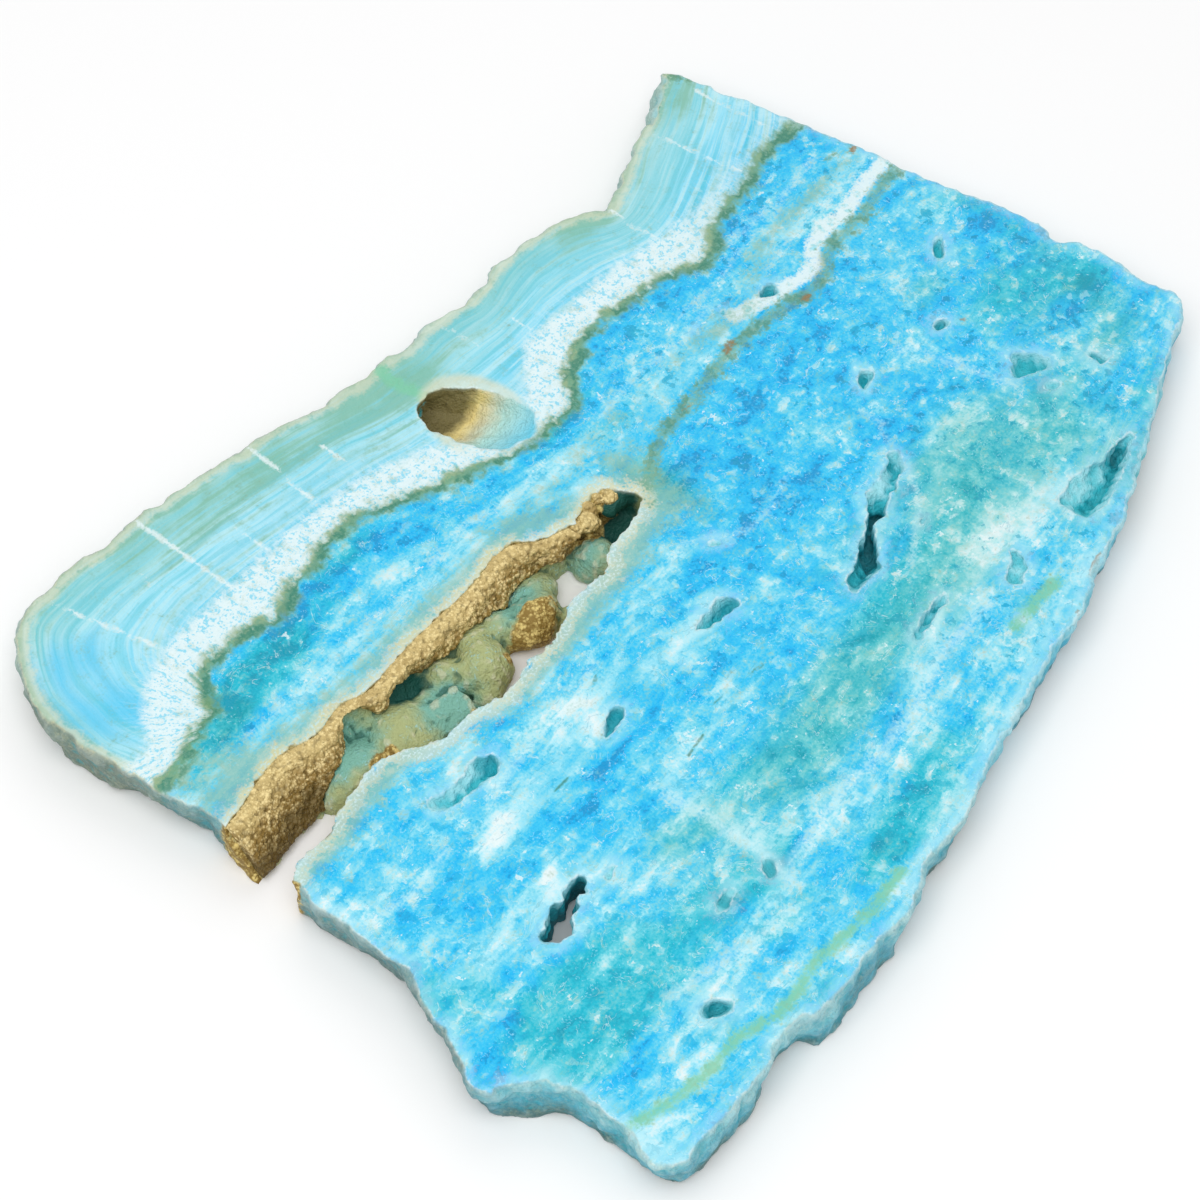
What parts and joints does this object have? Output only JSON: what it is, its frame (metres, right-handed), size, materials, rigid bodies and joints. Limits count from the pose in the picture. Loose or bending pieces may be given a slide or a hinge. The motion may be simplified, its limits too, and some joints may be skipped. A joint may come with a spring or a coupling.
{
  "type": "polished aragonite slab",
  "caption": "Flat slab of banded blue aragonite with a lobed growth rim, a polished face, pits and a long crystal-lined hollow that opens at one end.",
  "frame": {"origin": "centre of the slab's box, on the sawn underside that it rests on", "axes": "+X along the strata, from the open end of the long hollow; +Y towards the lobed growth rim; +Z out of the polished face"},
  "size_m": [0.2062, 0.1555, 0.01],
  "materials": {
    "aragonite": "polished banded stone, sky blue with white veins and olive-green seams; rough sawn and broken sides",
    "honey_crust": "sugary honey-gold crystal crust"
  },
  "bodies": {
    "root": {"slab": "aragonite", "vug_crust": "honey_crust"}
  },
  "joints": []
}
